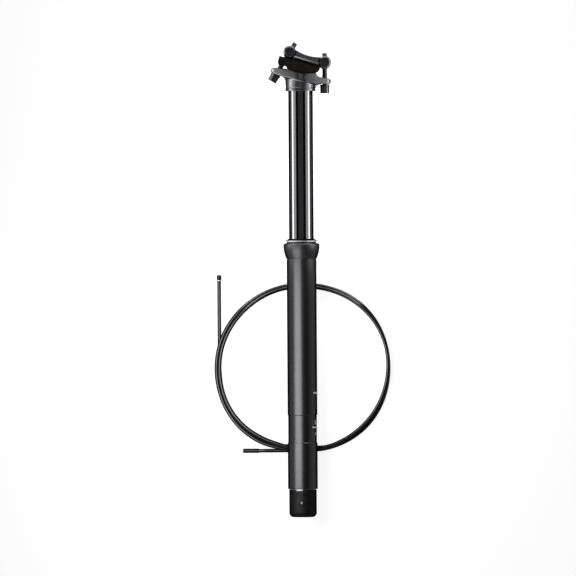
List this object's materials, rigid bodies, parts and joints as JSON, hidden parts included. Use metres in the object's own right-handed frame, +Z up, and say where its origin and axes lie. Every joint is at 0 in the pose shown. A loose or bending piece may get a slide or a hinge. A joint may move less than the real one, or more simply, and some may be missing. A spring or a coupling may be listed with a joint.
{
  "type": "dropper seatpost",
  "caption": "Telescoping bicycle seatpost with seal collar, bolted saddle rail clamp, actuator foot and coiled cable housing.",
  "frame": {"origin": "on the post's axis, at the top of the plain wall that goes into the frame's seat tube, where the seal collar starts", "axes": "+Y along the post towards the saddle clamp, +X towards the front of the bicycle, +Z up from the table that the post lies on"},
  "size_m": [0.1864, 0.5038, 0.06],
  "materials": {
    "satin_black_tube": "satin",
    "collar_black": "satin",
    "gloss_black_tube": "polished",
    "head_black": "satin",
    "cradle_black": "matte",
    "dark_steel": "satin",
    "bright_ring": "polished",
    "bare_alloy": "satin",
    "steel_rod": "polished",
    "brass_keys": "satin",
    "seal_rubber": "matte",
    "bushing_polymer": "matte",
    "housing_black": "satin",
    "cable_jacket": "semi-gloss",
    "ferrule_black": "satin"
  },
  "bodies": {
    "lower": {"lower_tube": "satin_black_tube", "seal_collar": "collar_black", "wiper_seal": "seal_rubber", "seal_ring": "bright_ring", "upper_bushing": "bushing_polymer", "lower_end_cap": "bare_alloy", "rod_nut": "bright_ring", "cartridge_rod": "steel_rod", "rod_piston": "bare_alloy", "bottom_bumper": "seal_rubber", "actuator_housing": "housing_black", "actuator_pin": "steel_rod"},
    "lever": {"actuator_lever": "bare_alloy"},
    "valve": {"valve_pin": "steel_rod"},
    "upper": {"upper_tube": "gloss_black_tube", "post_head": "head_black", "guide_keys": "brass_keys", "lower_bushing": "bushing_polymer", "top_out_bumper": "seal_rubber", "tube_end_ring": "bare_alloy", "cartridge_cylinder": "bare_alloy", "cylinder_gland": "bare_alloy", "gland_circlip": "dark_steel", "cylinder_cap": "bare_alloy", "front_washer": "dark_steel", "rear_washer": "dark_steel"},
    "float": {"floating_piston": "bare_alloy"},
    "clamp": {"rail_cradle": "cradle_black", "rail_yoke": "head_black"},
    "front_bolt_body": {"front_bolt": "dark_steel"},
    "rear_bolt_body": {"rear_bolt": "dark_steel"},
    "front_nut_body": {"front_barrel_nut": "dark_steel"},
    "rear_nut_body": {"rear_barrel_nut": "dark_steel"},
    "cable": {"long_housing_coil": "cable_jacket", "long_housing_tail": "cable_jacket", "long_tail_ferrule": "ferrule_black", "long_end_ferrule": "ferrule_black", "short_housing_coil": "cable_jacket", "short_housing_tail": "cable_jacket", "short_tail_ferrule": "ferrule_black", "short_end_ferrule": "ferrule_black"}
  },
  "joints": [
    {"name": "drop", "type": "slide", "parent": "lower", "child": "upper", "axis": [0, -1, 0], "range_m": [0, 0.15]},
    {"name": "float_slide", "type": "slide", "parent": "upper", "child": "float", "axis": [0, 1, 0], "range_m": [0, 0.052]},
    {"name": "lever_pull", "type": "hinge", "parent": "lower", "child": "lever", "pos_m": [-0.0016, -0.2578, 0], "axis": [0, 0, 1], "range_deg": [0, 20]},
    {"name": "valve_push", "type": "slide", "parent": "lower", "child": "valve", "axis": [0, 1, 0], "range_m": [0, 0.00116], "stiffness_N_per_m": 1500, "springref_m": -0.003},
    {"name": "saddle_tilt", "type": "hinge", "parent": "upper", "child": "clamp", "pos_m": [0.00754, 0.24226, 0], "axis": [0, 0, 1], "range_deg": [-5, 5]},
    {"name": "front_bolt_lean", "type": "hinge", "parent": "upper", "child": "front_bolt_body", "pos_m": [0.02582, 0.17764, 0], "axis": [0, 0, 1], "range_deg": [-5.6, 5.6]},
    {"name": "rear_bolt_lean", "type": "hinge", "parent": "upper", "child": "rear_bolt_body", "pos_m": [-0.02945, 0.19037, 0], "axis": [0, 0, 1], "range_deg": [-4.4, 4.4]},
    {"name": "front_nut_turn", "type": "hinge", "parent": "clamp", "child": "front_nut_body", "pos_m": [0.02582, 0.20849, 0], "axis": [0, 0, 1], "range_deg": [-10.6, 10.6]},
    {"name": "rear_nut_turn", "type": "hinge", "parent": "clamp", "child": "rear_nut_body", "pos_m": [-0.01112, 0.21971, 0], "axis": [0, 0, 1], "range_deg": [-9.3, 9.3]},
    {"name": "cable_pull", "type": "slide", "parent": "lower", "child": "cable", "axis": [-1, 0, 0], "range_m": [0, 0.25]}
  ],
  "couplings": [
    {"joint": "float_slide", "follows": "drop", "ratio": 0.34602},
    {"joint": "lever_pull", "follows": "valve_push", "rad_per_m": 300.17},
    {"joint": "front_bolt_lean", "follows": "saddle_tilt", "ratio": -1.0915},
    {"joint": "rear_bolt_lean", "follows": "saddle_tilt", "ratio": -0.8353},
    {"joint": "front_nut_turn", "follows": "saddle_tilt", "ratio": -2.0915},
    {"joint": "rear_nut_turn", "follows": "saddle_tilt", "ratio": -1.8353}
  ]
}
